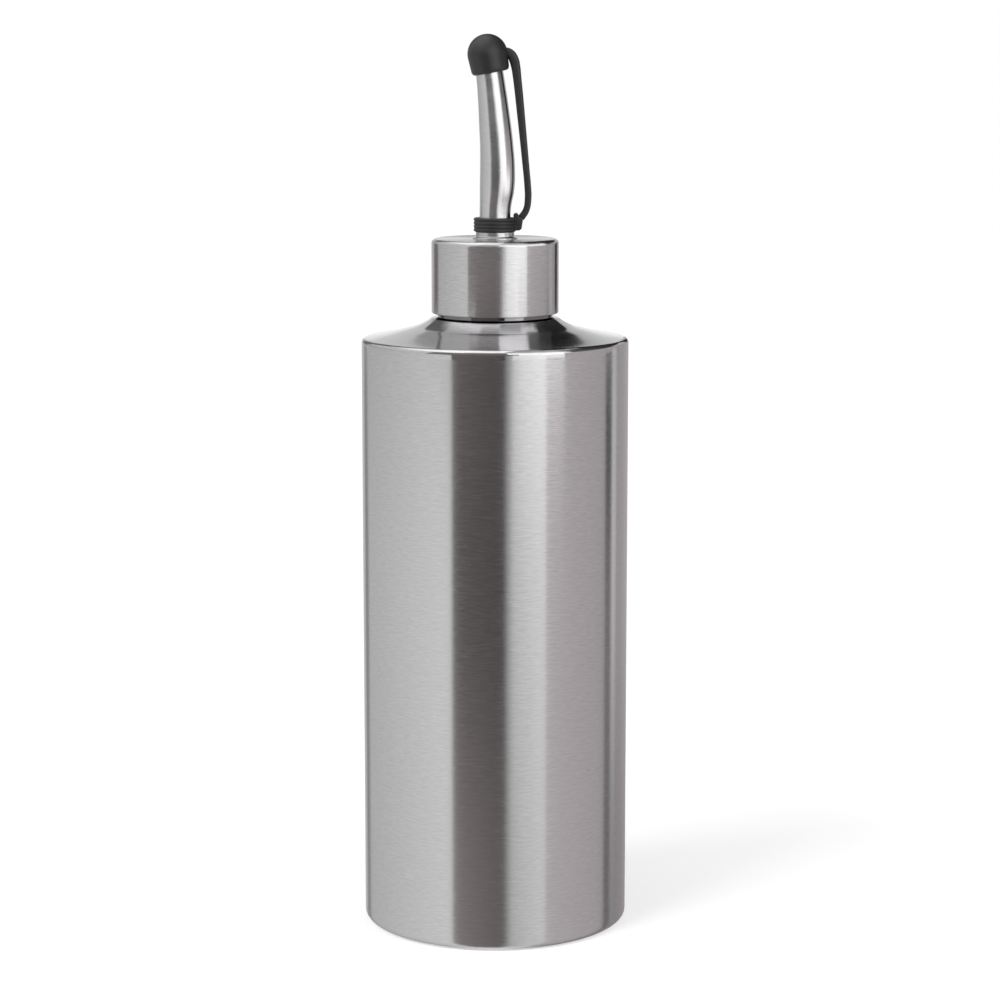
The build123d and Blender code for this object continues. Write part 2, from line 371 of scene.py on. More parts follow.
class Nodes:
    """The node tree of a material or a world, with short calls for the nodes used here."""

    def __init__(self, owner: Material | bpy.types.World) -> None:
        """Start with an empty tree in that material or world."""
        owner.use_nodes = True
        self.owner = owner
        self.tree = owner.node_tree
        self.tree.nodes.clear()

    def add(
        self, kind: str, inputs: dict[str | int, object] | None = None, **settings: object
    ) -> bpy.types.Node:
        """Add a node.

        Args:
            kind: The node's type.
            inputs: Values or linked sockets by input name or number.
            **settings: The node's own properties.

        Returns:
            The new node.
        """
        node = self.tree.nodes.new(kind)
        for key, value in settings.items():
            setattr(node, key, value)
        for key, value in (inputs or {}).items():
            if isinstance(value, Socket):
                self.tree.links.new(value, node.inputs[key])
            else:
                node.inputs[key].default_value = value
        return node

    def place(self) -> Socket:
        """The place on the piece, in metres."""
        return self.add("ShaderNodeTexCoord").outputs["Object"]

    def math(self, operation: str, *values: object) -> Socket:
        """The result of a Math node on values or sockets."""
        return self.add("ShaderNodeMath", dict(enumerate(values)), operation=operation).outputs[0]

    def vector(self, operation: str, *values: object) -> bpy.types.Node:
        """A Vector Math node on values or sockets."""
        return self.add("ShaderNodeVectorMath", dict(enumerate(values)), operation=operation)

    def scaled(self, vector: object, scale: object) -> Socket:
        """A vector or a colour times a number."""
        inputs = {0: vector, "Scale": scale}
        return self.add("ShaderNodeVectorMath", inputs, operation="SCALE").outputs[0]

    def noise(self, place: Socket, scale: float, detail: float) -> Socket:
        """The value of a noise at a place."""
        inputs = {"Vector": place, "Scale": scale, "Detail": detail}
        return self.add("ShaderNodeTexNoise", inputs).outputs["Fac"]

    def remap(self, value: Socket, source: Sequence[float], target: Sequence[float]) -> Socket:
        """A value taken from one range to another, and held at its ends."""
        inputs = {"Value": value, "From Min": source[0], "From Max": source[1]}
        inputs |= {"To Min": target[0], "To Max": target[1]}
        return self.add("ShaderNodeMapRange", inputs).outputs[0]

    def spread(self, noise: Socket, middle: float, swing: float) -> Socket:
        """A noise value spread as far as a swing to both sides of a middle."""
        return self.remap(noise, NOISE_RANGE, (middle - swing, middle + swing))

    def finish(self, surface: Socket) -> Material | bpy.types.World:
        """Link the surface to a new output, and return the material or world."""
        world = isinstance(self.owner, bpy.types.World)
        kind = "ShaderNodeOutputWorld" if world else "ShaderNodeOutputMaterial"
        self.add(kind, {"Surface": surface})
        return self.owner


class Grain(Enum):
    """Which way a steel piece was brushed."""

    TURNED = "turned"
    ROUND_TUBE = "round_tube"


@dataclass(frozen=True)
class BrushedSteel:
    """Stainless steel with fine lines round the piece.

    Attributes:
        name: The material's name.
        colour: The metal's colour, linear.
        roughness: How much the lines blur a reflection.
        patchiness: How far the blur varies.
        stretch: How much more the blur runs across the lines than along them.
        grain: Which way the piece was brushed.
        lines: Lines for each metre across the brushing.
        strokes: Strokes for each metre along the brushing.
        unevenness: How far the lines vary in lightness.
        depth: Depth of the lines.
        painted_shade_height: Height above which the steel's colour is painted darker, as painted
            shade under the cap, if any of it is.
        painted_shade_edge: Half of the height over which that painted shade begins.
        painted_shade_level: How light the steel is under that painted shade.
    """

    name: str
    colour: tuple[float, float, float] = (0.602, 0.596, 0.603)
    roughness: float = 0.21
    patchiness: float = 0.03
    stretch: float = 0.8
    grain: Grain = Grain.TURNED
    lines: float = 5200.0
    strokes: float = 420.0
    unevenness: float = 0.07
    depth: float = 0.0008 * MM
    painted_shade_height: float | None = None
    painted_shade_edge: float = 0.25 * MM
    painted_shade_level: float = 0.4

    def build(self) -> Material:
        """Make the material."""
        nodes = Nodes(bpy.data.materials.new(self.name))
        parts = nodes.add("ShaderNodeSeparateXYZ", {0: nodes.place()}).outputs
        flat = nodes.add("ShaderNodeCombineXYZ", {"X": parts["X"], "Y": parts["Y"]}).outputs[0]
        fine = self._streaks(nodes, flat, parts["Z"])
        light = nodes.spread(fine, 1.0, self.unevenness)
        # Painted shade: above a height the steel's colour is darkened, standing in for the shadow
        # under the cap.
        if self.painted_shade_height is not None:
            edge = (self.painted_shade_height - self.painted_shade_edge, self.painted_shade_height + self.painted_shade_edge)
            painted_shade_factor = nodes.remap(parts["Z"], edge, (1.0, self.painted_shade_level))
            light = nodes.math("MULTIPLY", light, painted_shade_factor)
        bump = {"Height": fine, "Strength": 0.5, "Distance": self.depth}
        inputs = {
            "Base Color": nodes.scaled(self.colour, light),
            "Metallic": 1.0,
            "Roughness": nodes.spread(fine, self.roughness, self.patchiness),
            "Normal": nodes.add("ShaderNodeBump", bump).outputs[0],
            "Anisotropic": self.stretch,
            "Anisotropic Rotation": 0.25,
            "Tangent": self._tangent(nodes),
        }
        return nodes.finish(nodes.add("ShaderNodeBsdfPrincipled", inputs).outputs[0])

    def _streaks(self, nodes: Nodes, flat: Socket, height: Socket) -> Socket:
        """Noise that is long round the piece and short across the lines."""
        radius = nodes.vector("LENGTH", flat).outputs["Value"]
        across = nodes.math("MULTIPLY", nodes.math("ADD", height, radius), self.lines)
        lift = nodes.add("ShaderNodeCombineXYZ", {"Z": across}).outputs[0]
        place = nodes.vector("ADD", nodes.scaled(flat, self.strokes), lift).outputs[0]
        inputs = {"Vector": place, "Scale": 1.0, "Detail": 2.0, "Roughness": 0.6}
        return nodes.add("ShaderNodeTexNoise", inputs).outputs["Fac"]

    def _tangent(self, nodes: Nodes) -> Socket:
        """The direction of the lines."""
        if self.grain is Grain.TURNED:
            return nodes.add("ShaderNodeTangent", direction_type="RADIAL", axis="Z").outputs[0]
        normal = nodes.add("ShaderNodeNewGeometry").outputs["Normal"]
        return nodes.vector("CROSS_PRODUCT", (0.0, 0.0, 1.0), normal).outputs[0]


@dataclass(frozen=True)
class Moulded:
    """A moulded rubber or plastic: one colour, a little uneven, with a fine skin.

    Attributes:
        name: The material's name.
        colour: The colour, linear.
        roughness: The surface's roughness.
        patchiness: How far the roughness varies.
        unevenness: How far the colour varies.
        cloud: Patches of uneven colour for each metre.
        skin: Grains of the skin for each metre.
        depth: Depth of the skin's grain.
    """

    name: str
    colour: tuple[float, float, float]
    roughness: float
    patchiness: float = 0.05
    unevenness: float = 0.1
    cloud: float = 225.0
    skin: float = 4500.0
    depth: float = 0.01 * MM

    def build(self) -> Material:
        """Make the material."""
        nodes = Nodes(bpy.data.materials.new(self.name))
        place = nodes.place()
        grain = nodes.noise(place, self.skin, 3.0)
        light = nodes.spread(nodes.noise(place, self.cloud, 2.0), 1.0, self.unevenness)
        bump = {"Height": grain, "Strength": 0.6, "Distance": self.depth}
        inputs = {
            "Base Color": nodes.scaled(self.colour, light),
            "Roughness": nodes.spread(grain, self.roughness, self.patchiness),
            "Normal": nodes.add("ShaderNodeBump", bump).outputs[0],
        }
        return nodes.finish(nodes.add("ShaderNodeBsdfPrincipled", inputs).outputs[0])


class Finishes:
    """The object's materials, each made once."""

    def __init__(self) -> None:
        """Build every material."""
        self.body = BrushedSteel("body_steel").build()
        # The shoulder's steel carries painted shade: its colour is darkened near the throat, just
        # under the cap.
        self.shoulder = BrushedSteel(
            "shoulder_steel", roughness=0.10, painted_shade_height=161.1 * MM
        ).build()
        self.cap = BrushedSteel("cap_steel", lines=5000.0).build()
        self.turned = BrushedSteel(
            "turned_steel", roughness=0.22, lines=6000.0, unevenness=0.04
        ).build()
        self.spout = BrushedSteel(
            "spout_steel",
            (0.642, 0.636, 0.643),
            roughness=0.22,
            grain=Grain.ROUND_TUBE,
            unevenness=0.03,
        ).build()
        self.rubber = Moulded("black_rubber", (0.0165, 0.0155, 0.016), 0.42).build()
        self.insert = Moulded("insert_plastic", (0.72, 0.72, 0.70), 0.42, unevenness=0.03).build()
        self.silicone = Moulded("clear_silicone", (0.62, 0.62, 0.60), 0.5, unevenness=0.04).build()


def coat(piece: Piece, material: Material, slot: str, *nodes: str) -> None:
    """Give a new piece its material, and hide the CAD nodes that it stands for.

    Args:
        piece: The finished object.
        material: Its finish.
        slot: Not used.
        *nodes: The CAD nodes that it replaces.
    """
    piece.data.materials.clear()
    piece.data.materials.append(material)
    if nodes:
        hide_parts(*nodes)


def dress(piece: Piece, body: Body, material: Material, slot: str, *nodes: str) -> None:
    """Coat a new piece and let it ride on a body.

    Args:
        piece: The finished object.
        body: The body that it moves with.
        material: Its finish.
        slot: Not used; it is only passed on to coat.
        *nodes: The CAD nodes that it replaces.
    """
    coat(piece, material, slot, *nodes)
    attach(piece, body.value)
    LOG.info("%s rides on %s and replaces %s", piece.name, body.value, nodes or "nothing")


def repaint(node: str, material: Material) -> None:
    """Give a carried-over CAD node a better material."""
    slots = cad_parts[node].data.materials
    slots.clear()
    slots.append(material)
    LOG.info("%s is shown as it is, in %s", node, material.name)


@dataclass(frozen=True)
class Thread:
    """A single-start right-hand ridge with faded ends.

    Attributes:
        pitch: Rise in one turn.
        root_width: Width where the ridge meets its barrel.
        crest_width: Width at the ridge's edge.
        stand: How far the ridge stands out from its barrel.
        sink: How far its foot reaches into the barrel.
        start: Height above the shoulder at which the neck's ridge begins.
        fade: Share of a turn over which each end fades away.
        least: Share of the ridge's depth that is left at its very ends.
        steps: Facets in one turn.
    """

    pitch: float = 4.2 * MM
    root_width: float = 1.7 * MM
    crest_width: float = 0.8 * MM
    stand: float = 0.75 * MM
    sink: float = 0.05 * MM
    start: float = 2.2 * MM
    fade: float = 0.12
    least: float = 0.02
    steps: int = 96

    def first_height(self) -> float:
        """Height of the middle of the neck's ridge where it begins."""
        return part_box("shoulder_dome")[1].z + self.start

    def build(self, name: str, barrel: float, side: int, bottom: float, turns: float) -> Piece:
        """Wind the ridge.

        Args:
            name: The piece's name.
            barrel: Radius of the face that the ridge stands on.
            side: 1 for a ridge outside a barrel, or -1 for one inside a bore.
            bottom: Height of the ridge's middle where it starts, on the +X side.
            turns: How many turns it makes.

        Returns:
            The finished object.
        """
        root, crest = barrel - side * self.sink, barrel + side * self.stand
        Bench.clear()
        bpy.ops.mesh.primitive_plane_add(
            size=1, location=((root + crest) / 2, 0, bottom), rotation=(math.pi / 2, 0, 0)
        )
        piece = Bench.take(name, (abs(crest - root), self.root_width, 1))
        Bench.pick(piece, lambda place: abs(place.x - crest) < TOUCH)
        narrowing = self.crest_width / self.root_width
        bpy.ops.transform.resize(value=(1, 1, narrowing), center_override=(crest, 0, bottom))
        bpy.ops.mesh.select_all(action="SELECT")
        bpy.ops.mesh.delete(type="ONLY_FACE")
        Bench.apply(
            piece,
            "SCREW",
            angle=turns * math.tau,
            screw_offset=self.pitch * turns,
            steps=round(self.steps * turns),
            render_steps=round(self.steps * turns),
            use_merge_vertices=False,
        )
        bpy.ops.object.mode_set(mode="EDIT")
        bpy.ops.mesh.select_all(action="SELECT")
        bpy.ops.mesh.fill_holes(sides=4)
        bpy.ops.object.mode_set(mode="OBJECT")
        self._fade(piece, root, bottom, turns)
        return Bench.tidy(piece)

    def _fade(self, piece: Piece, root: float, bottom: float, turns: float) -> None:
        """Sink the ridge's two ends into the barrel."""
        for vertex in piece.data.vertices:
            share = math.atan2(vertex.co.y, vertex.co.x) / math.tau
            wound = share + round((vertex.co.z - bottom) / self.pitch - share)
            depth = min(max(min(wound, turns - wound) / self.fade, self.least), 1.0)
            radius = vertex.co.xy.length
            reach = (root + (radius - root) * depth) / radius
            vertex.co.x *= reach
            vertex.co.y *= reach


@dataclass
class BottleBody:
    """The steel body: wall, base pan, shoulder and threaded neck.

    Attributes:
        sheet: Thickness of the steel.
        lap_gap: Gap between the wall and the flanges that lap into it.
        rounding: Rounding of the bottom corner.
        recess: Depth of the raised middle of the base.
        recess_radius: Radius of the base's recess.
        recess_slope: Run of the recess's sloping side.
        recess_rounding: Rounding between that side and the standing ring.
        rim_height: Height of the shoulder's outer corner.
        rim_rounding: Rounding of that corner.
        rim_slope: Slope from the rim to the knee, in degrees.
        knee_radius: Radius at which the shoulder steepens.
        knee_rounding: Radius of the gentle bend there.
        cone_slope: Slope from the knee to the trumpet's bend, in degrees.
        bend_radius: Radius of the corner that the trumpet's bend rounds.
        bend_rounding: Radius of that bend.
        bend_slope: Slope above the bend, in degrees.
        ledge_radius: Radius of the ledge round the throat.
        ledge_rise: Rise of the ledge from its edge to the throat.
        throat_radius: Radius of the upright throat.
        neck_wall: Wall of the neck.
        neck_step: How far the spigot stands out from the threaded barrel.
        collar_step: How far the collar stands out from the spigot.
        collar_height: Height of the collar on the throat's edge.
        spigot_length: Length of the neck inside the throat.
        thread_turns: Turns of the neck's thread.
    """

    sheet: float = 0.7 * MM
    lap_gap: float = 0.05 * MM
    rounding: float = 1.8 * MM
    recess: float = 2.5 * MM
    recess_radius: float = 25.0 * MM
    recess_slope: float = 3.0 * MM
    recess_rounding: float = 1.5 * MM
    rim_height: float = 155.8 * MM
    rim_rounding: float = 1.3 * MM
    rim_slope: float = 8.45
    knee_radius: float = 29.1 * MM
    knee_rounding: float = 78.0 * MM
    cone_slope: float = 14.9
    bend_radius: float = 18.93 * MM
    bend_rounding: float = 13.0 * MM
    bend_slope: float = 38.0
    ledge_radius: float = 16.68 * MM
    ledge_rise: float = 0.25 * MM
    throat_radius: float = 15.0 * MM
    neck_wall: float = 1.3 * MM
    neck_step: float = 0.35 * MM
    collar_step: float = 0.25 * MM
    collar_height: float = 0.6 * MM
    spigot_length: float = 6.5 * MM
    thread_turns: float = 2.6

    def build(self, lathe: Lathe, finishes: Finishes) -> None:
        """Make and dress the body's pieces."""
        steel, turned = finishes.body, finishes.turned
        dress(self.wall(lathe), Body.BOTTLE, steel, "body_steel", "body_wall")
        dress(self.base(lathe), Body.BOTTLE, steel, "body_steel", "base_pan")
        dress(self.shoulder(lathe), Body.BOTTLE, finishes.shoulder, "body_steel", "shoulder_dome")
        dress(self.neck(lathe), Body.BOTTLE, turned, "turned_steel", "neck_ring")
        dress(self.neck_thread(), Body.BOTTLE, turned, "turned_steel")

    def wall(self, lathe: Lathe) -> Piece:
        """The straight tube."""
        low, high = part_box("body_wall")
        corners = (Corner(high.x, low.z), Corner(high.x, high.z))
        return lathe.sheet("bottle_wall", corners, self.sheet)

    def base(self, lathe: Lathe) -> Piece:
        """The pressed pan with its raised middle, standing ring and lapped flange."""
        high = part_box("base_pan")[1]
        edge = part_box("body_wall")[0].z
        lap = high.x - self.sheet - self.lap_gap
        corners = (
            Corner(self.recess_radius - self.recess_slope, self.recess),
            Corner(self.recess_radius, 0, self.recess_rounding, 6),
            Corner(high.x, 0, self.rounding, 10),
            Corner(high.x, edge),
            Corner(lap, edge),
            Corner(lap, high.z),
        )
        return lathe.sheet("bottle_base", corners, self.sheet, disc=True)

    def shoulder(self, lathe: Lathe) -> Piece:
        """The trumpet shoulder from its lapped flange up to the throat."""
        low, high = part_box("shoulder_dome")
        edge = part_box("body_wall")[1].z
        lap = high.x - self.sheet - self.lap_gap
        knee = self._climb(self.rim_height, high.x - self.knee_radius, self.rim_slope)
        bend = self._climb(knee, self.knee_radius - self.bend_radius, self.cone_slope)
        ledge = self._climb(bend, self.bend_radius - self.ledge_radius, self.bend_slope)
        corners = (
            Corner(lap, low.z),
            Corner(lap, edge),
            Corner(high.x, edge),
            Corner(high.x, self.rim_height, self.rim_rounding, 8),
            Corner(self.knee_radius, knee, self.knee_rounding, 12),
            Corner(self.bend_radius, bend, self.bend_rounding, 24),
            Corner(self.ledge_radius, ledge, 0.3 * MM, 4),
            Corner(self.throat_radius, ledge + self.ledge_rise, EASE),
            Corner(self.throat_radius, high.z),
        )
        return lathe.sheet("bottle_shoulder", corners, self.sheet)

    @staticmethod
    def _climb(height: float, run: float, slope: float) -> float:
        """The height at the end of a run up a slope in degrees."""
        return height + run * math.tan(math.radians(slope))

    def neck(self, lathe: Lathe) -> Piece:
        """The turned neck: spigot, collar and barrel."""
        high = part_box("neck_ring")[1]
        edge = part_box("shoulder_dome")[1].z
        foot, collar_top = edge - self.spigot_length, edge + self.collar_height
        spigot, barrel = high.x - self.collar_step, self._barrel()
        bore = barrel - self.neck_wall
        corners = (
            Corner(bore, foot, EASE),
            Corner(spigot, foot, EASE),
            Corner(spigot, edge),
            Corner(high.x, edge),
            Corner(high.x, collar_top, 0.12 * MM),
            Corner(barrel, collar_top, EASE),
            Corner(barrel, high.z, 0.5 * MM, 5),
            Corner(bore, high.z, EASE),
        )
        return lathe.solid("bottle_neck", corners)

    def _barrel(self) -> float:
        """Radius of the neck's threaded barrel."""
        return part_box("neck_ring")[1].x - self.collar_step - self.neck_step

    def neck_thread(self) -> Piece:
        """The ridge on the neck's barrel."""
        thread = Thread()
        bottom = thread.first_height()
        return thread.build("neck_thread", self._barrel(), 1, bottom, self.thread_turns)


@dataclass
class ScrewCap:
    """The steel cap with its moulded insert, and what clamps the spout in it.

    Attributes:
        sheet: Thickness of the cap's steel.
        rounding: Rounding of the top edge.
        lip: Rounding of the bottom edge.
        hole: Radius of the hole for the collar's stub.
        insert_wall: Wall of the moulded insert.
        thread_turns: Turns of the insert's thread.
        stub: Radius of the collar's stub.
        foot_edge: Height of the edge of the collar's foot.
        foot_height: Height of the foot where it meets the collar.
        foot_width: How far the foot stands out from the collar.
    """

    sheet: float = 0.8 * MM
    rounding: float = 1.2 * MM
    lip: float = 0.35 * MM
    hole: float = 5.05 * MM
    insert_wall: float = 0.9 * MM
    thread_turns: float = 2.4
    stub: float = 4.95 * MM
    foot_edge: float = 0.3 * MM
    foot_height: float = 0.5 * MM
    foot_width: float = 0.8 * MM

    def build(self, lathe: Lathe, finishes: Finishes) -> None:
        """Make and dress the cap's pieces."""
        plastic, turned = finishes.insert, finishes.turned
        dress(self.cover(lathe), Body.CAP, finishes.cap, "cap_steel", "cap_shell")
        dress(self.insert(lathe), Body.CAP, plastic, "insert_plastic", "cap_insert")
        dress(self.insert_thread(), Body.CAP, plastic, "insert_plastic")
        dress(self.collar(lathe), Body.CAP, turned, "turned_steel", "spout_collar")
        for soft_ring in ("spout_gasket", "cap_liner"):
            repaint(soft_ring, finishes.silicone)
        for fastener in ("clamp_washer", "clamp_nut"):
            repaint(fastener, turned)

    def cover(self, lathe: Lathe) -> Piece:
        """The steel cup."""
        low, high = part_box("cap_shell")
        inner, under = high.x - self.sheet, high.z - self.sheet
        corners = (
            Corner(inner, low.z, EASE, 2),
            Corner(high.x, low.z, self.lip, 4),
            Corner(high.x, high.z, self.rounding, 8),
            Corner(self.hole, high.z),
            Corner(self.hole, under),
            Corner(inner, under),
        )
        return lathe.solid("cap_cover", corners)

    def insert(self, lathe: Lathe) -> Piece:
        """The moulded cup that takes the thread."""
        low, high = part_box("cap_insert")
        under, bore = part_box("spout_gasket")[1].z, self._bore()
        corners = (
            Corner(bore, low.z, 0.25 * MM),
            Corner(high.x, low.z, 0.25 * MM),
            Corner(high.x, high.z, 0.3 * MM),
            Corner(self.hole, high.z),
            Corner(self.hole, under),
            Corner(bore, under),
        )
        return lathe.solid("cap_inside", corners)

    def _bore(self) -> float:
        """Radius of the insert's threaded bore."""
        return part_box("cap_insert")[1].x - self.insert_wall

    def insert_thread(self) -> Piece:
        """The ridge in the insert's bore, half a pitch above the neck's."""
        thread = Thread()
        bottom = thread.first_height() + thread.pitch / 2
        return thread.build("cap_thread", self._bore(), -1, bottom, self.thread_turns)

    def collar(self, lathe: Lathe) -> Piece:
        """The turned bush: its foot on the cap, the low collar and the stub below."""
        low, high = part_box("spout_collar")
        cap_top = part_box("cap_shell")[1].z
        upper = high.x - self.foot_width
        corners = (
            Corner(SPOUT_BORE, low.z),
            Corner(self.stub, low.z, 0.3 * MM),
            Corner(self.stub, cap_top),
            Corner(high.x, cap_top),
            Corner(high.x, cap_top + self.foot_edge, 0.15 * MM, 4),
            Corner(upper, cap_top + self.foot_height, 0.3 * MM, 4),
            Corner(upper, high.z, EASE, 4),
            Corner(SPOUT_BORE, high.z),
        )
        return lathe.solid("spout_bush", corners)


@dataclass(frozen=True)
class Station:
    """A point of a bent piece's middle line in the XZ plane, with the size of the section there."""

    x: float
    z: float
    size: float


class BentPiece:
    """Pieces that follow a smooth line in the XZ plane.

    Attributes:
        FACETS: Facets between two stations, and in each quarter of a round section.
    """

    FACETS = 14

    @staticmethod
    def line(name: str, stations: Sequence[Station], section: Piece | None = None) -> Piece:
        """Sweep a section along a smooth line through the stations.

        Args:
            name: The piece's name.
            stations: The places on the line, with the section's scale at each.
            section: A closed curve to sweep, which is used up, or None for a circle of radius 1.

        Returns:
            A mesh with closed ends.
        """
        Bench.clear()
        bpy.ops.curve.primitive_bezier_curve_add(location=(0, 0, 0))
        curve = bpy.context.object
        spline = curve.data.splines[0]
        spline.bezier_points.add(len(stations) - len(spline.bezier_points))
        for point, station in zip(spline.bezier_points, stations):
            point.co = (station.x, 0, station.z)
            point.radius = station.size
            BentPiece.smooth(point)
        spline.resolution_u = BentPiece.FACETS
        spline.radius_interpolation = "CARDINAL"
        curve.data.twist_mode = "MINIMUM"
        curve.data.use_fill_caps = True
        curve.data.bevel_resolution = BentPiece.FACETS
        if section is None:
            curve.data.bevel_depth = 1.0
        else:
            curve.data.bevel_mode = "OBJECT"
            curve.data.bevel_object = section
        bpy.ops.object.convert(target="MESH")
        piece = Bench.take(name)
        if section is not None:
            bpy.data.objects.remove(section)
        return Bench.tidy(piece)

    @staticmethod
    def smooth(point: bpy.types.BezierSplinePoint) -> None:
        """Let the curve run smoothly through a point."""
        point.handle_left_type = "AUTO"
        point.handle_right_type = "AUTO"


@dataclass
class PourSpout:
    """The bent, swaged pour tube with its air tube.

    Attributes:
        sheet: Wall of the tube.
        root: Diameter of the straight root.
        bend: Rise above the collar, shift along X and diameter at places up the tube, in mm.
        lean: Lean of the straight tip, in degrees.
        tip_length: Length of the straight tip.
        tip_taper: How much the tip's radius shrinks along it.
    """

    sheet: float = 0.5 * MM
    root: float = 8.1 * MM
    bend: tuple[tuple[float, float, float], ...] = (
        (0.0, 0.0, 8.1),
        (2.6, 0.0, 8.1),
        (5.2, 0.03, 8.12),
        (8.0, 0.22, 8.45),
        (11.0, 0.52, 9.03),
        (15.0, 0.66, 9.15),
        (21.4, 0.48, 8.75),
        (28.7, -0.09, 8.2),
        (35.0, -0.68, 7.6),
        (39.9, -1.26, 7.2),
    )
    lean: float = 9.0
    tip_length: float = 8.0 * MM
    tip_taper: float = 0.15 * MM

    def build(self, finishes: Finishes) -> None:
        """Make and dress the spout's pieces."""
        dress(self.tube(), Body.CAP, finishes.spout, "spout_steel", "spout_tube")
        repaint("vent_tube", finishes.spout)

    def stations(self) -> list[Station]:
        """The tube's middle line: a straight root, the belly, and the long lean to the tip."""
        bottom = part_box("spout_tube")[0].z
        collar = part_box("spout_collar")[1].z
        stations = [Station(0, height, self.root / 2) for height in (bottom, (bottom + collar) / 2)]
        for rise, shift, across in self.bend:
            stations.append(Station(shift * MM, collar + rise * MM, across * MM / 2))
        foot = stations[-1]
        lean = math.radians(self.lean)
        for share in (0.5, 1.0):
            run = self.tip_length * share
            x, z = foot.x - run * math.sin(lean), foot.z + run * math.cos(lean)
            stations.append(Station(x, z, foot.size - self.tip_taper * share))
        return stations

    def tube(self) -> Piece:
        """The steel tube, open at both ends."""
        piece = BentPiece.line("pour_tube", self.stations())
        Bench.cut_faces(piece, lambda face: len(face.vertices) > 4)
        return Bench.wall(piece, self.sheet)


@dataclass
class RubberTether:
    """The rubber moulding: ring with lug, strap and tip cap.

    Attributes:
        ring_height: Height of the ring.
        ribs: How many ribs the ring has.
        groove: Depth of the grooves between them.
        flank: Share of a rib's height that each of its flanks takes.
        lug_inside: Distance of the lug's inner face from the axis.
        lug_outside: Distance of its outer face.
        lug_bottom: Height of its foot above the ring's foot.
        lug_top: Height of its top, the same way.
        lug_width: Width of the lug across the strap.
        lug_corner: Bevel of its lower outer edge, and drop of its upper one.
        lug_lean: How far its top leans outwards.
        roll: Radius of the small roll beside the strap's foot.
        roll_place: The roll's distance from the axis.
        roll_rise: Its height above the ring's foot.
        ball: Radius of the tip cap's ball.
        ball_inset: How far the ball stays from the -X side of its node's box.
        ball_cut: Depth below the ball's middle at which the skirt begins.
        skirt: Radius of the skirt.
        skirt_depth: Depth of its lower edge below the ball's middle.
        socket: Radius of the socket at its mouth.
        socket_taper: How much narrower the socket is at its end.
        socket_top: Height of the socket's end above the ball's middle.
        lean: Lean of the tip cap, in degrees.
        strap_width: Width of the strap where its scale is one.
        strap_thickness: Thickness of the strap there.
        strap_squareness: Power that squares its section, from 1 for an ellipse down to 0.
        strap_rise: Distance from the axis, rise above the lug and scale up the strap, in mm.
        strap_bow: Distance from the axis, height and scale where it bows over, in mm.
        strap_end: Distance from the axis, drop below its top and scale at its end, in mm.
        stretch_foot: Not used.
        stretch_head: Not used.
        ear_inside: How far from the ball's middle the strap's ear begins.
        ear_drop: How far the ear's middle lies below the strap's top.
        ear_fit: How much wider and thicker the ear is than the strap.
    """

    ring_height: float = 3.6 * MM
    ribs: int = 4
    groove: float = 0.25 * MM
    flank: float = 0.28
    lug_inside: float = 4.9 * MM
    lug_outside: float = 7.0 * MM
    lug_bottom: float = 0.3 * MM
    lug_top: float = 4.4 * MM
    lug_width: float = 3.6 * MM
    lug_corner: float = 0.9 * MM
    lug_lean: float = 0.35 * MM
    roll: float = 0.68 * MM
    roll_place: float = 5.45 * MM
    roll_rise: float = 4.1 * MM
    ball: float = 5.2 * MM
    ball_inset: float = 0.2 * MM
    ball_cut: float = 0.4 * MM
    skirt: float = 4.95 * MM
    skirt_depth: float = 4.9 * MM
    socket: float = 3.7 * MM
    socket_taper: float = 0.15 * MM
    socket_top: float = 3.3 * MM
    lean: float = 10.5
    strap_width: float = 2.1 * MM
    strap_thickness: float = 2.1 * MM
    strap_squareness: float = 0.6
    strap_rise: tuple[tuple[float, float, float], ...] = (
        (6.75, -0.1, 0.86),
        (8.1, 2.0, 0.82),
        (8.62, 5.2, 0.84),
        (8.5, 8.3, 0.84),
        (8.07, 13.0, 0.84),
        (6.87, 25.3, 0.95),
        (5.74, 36.1, 1.05),
    )
    strap_bow: tuple[tuple[float, float, float], ...] = (
        (5.36, 226.0, 1.14),
        (4.9, 227.8, 1.2),
        (4.15, 229.1, 1.16),
    )
    strap_end: tuple[tuple[float, float, float], ...] = ((3.1, 0.95, 1.12), (2.0, 0.85, 1.1))
    stretch_foot: float = 3.0 * MM
    stretch_head: float = 0.5 * MM
    ear_inside: float = 3.6 * MM
    ear_drop: float = 1.05 * MM
    ear_fit: float = 1.1

    def build(self, lathe: Lathe, finishes: Finishes) -> None:
        """Make and dress the moulding's three pieces."""
        rubber = finishes.rubber
        dress(self.ring(lathe), Body.CAP, rubber, "black_rubber", "tether_ring")
        dress(self.tip(), Body.TIP, rubber, "black_rubber", "tip_cap")
        strap = self.strap()
        coat(strap, rubber, "black_rubber", "tether_strap")
        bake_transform(strap)
        LOG.info("%s bends between %s and %s", strap.name, Body.CAP.value, Body.TIP.value)

    def ring(self, lathe: Lathe) -> Piece:
        """The ribbed ring with its lug and the small roll beside the strap's foot."""
        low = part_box("tether_ring")[0]
        outer = -low.x
        valley = outer - self.groove
        top = low.z + self.ring_height
        rib = self.ring_height / self.ribs
        corners = [Corner(SPOUT_BORE, top), Corner(SPOUT_BORE, low.z)]
        for i in range(self.ribs):
            bottom = low.z + rib * i
            corners.append(Corner(valley, bottom))
            corners.append(Corner(outer, bottom + rib * self.flank, 0.1 * MM))
            corners.append(Corner(outer, bottom + rib * (1 - self.flank), 0.1 * MM))
        corners.append(Corner(valley, top))
        ring = lathe.solid("rubber_ring", corners)
        whole = Bench.join(ring, self._lug(), self._roll())
        return Bench.mould(whole, voxel=0.11 * MM, passes=2)

